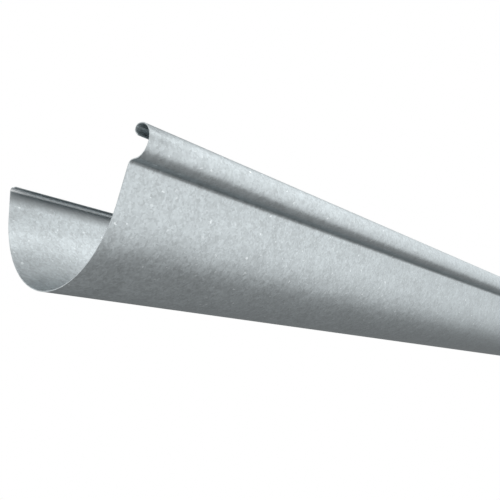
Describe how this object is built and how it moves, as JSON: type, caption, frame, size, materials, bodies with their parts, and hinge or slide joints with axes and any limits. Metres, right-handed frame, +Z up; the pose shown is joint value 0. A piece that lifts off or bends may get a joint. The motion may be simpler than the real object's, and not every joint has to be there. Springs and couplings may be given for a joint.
{
  "type": "half-round gutter section",
  "caption": "Half-round eaves gutter length of thin roll-formed galvanised steel, with an open rolled bead along the front edge and a narrow folded lip along the back.",
  "frame": {"origin": "on the axis of the half-round, halfway along the gutter", "axes": "+Y along the gutter, +Z up as the loose length lies on a level floor, +X towards the beaded front and -X towards the back lip that goes against the building"},
  "size_m": [0.1712, 2, 0.1081],
  "materials": {
    "galvanised_steel": "hot-dip galvanised with a fine spangle, satin, unpainted"
  },
  "bodies": {
    "root": {"gutter_section": "galvanised_steel"}
  },
  "joints": []
}
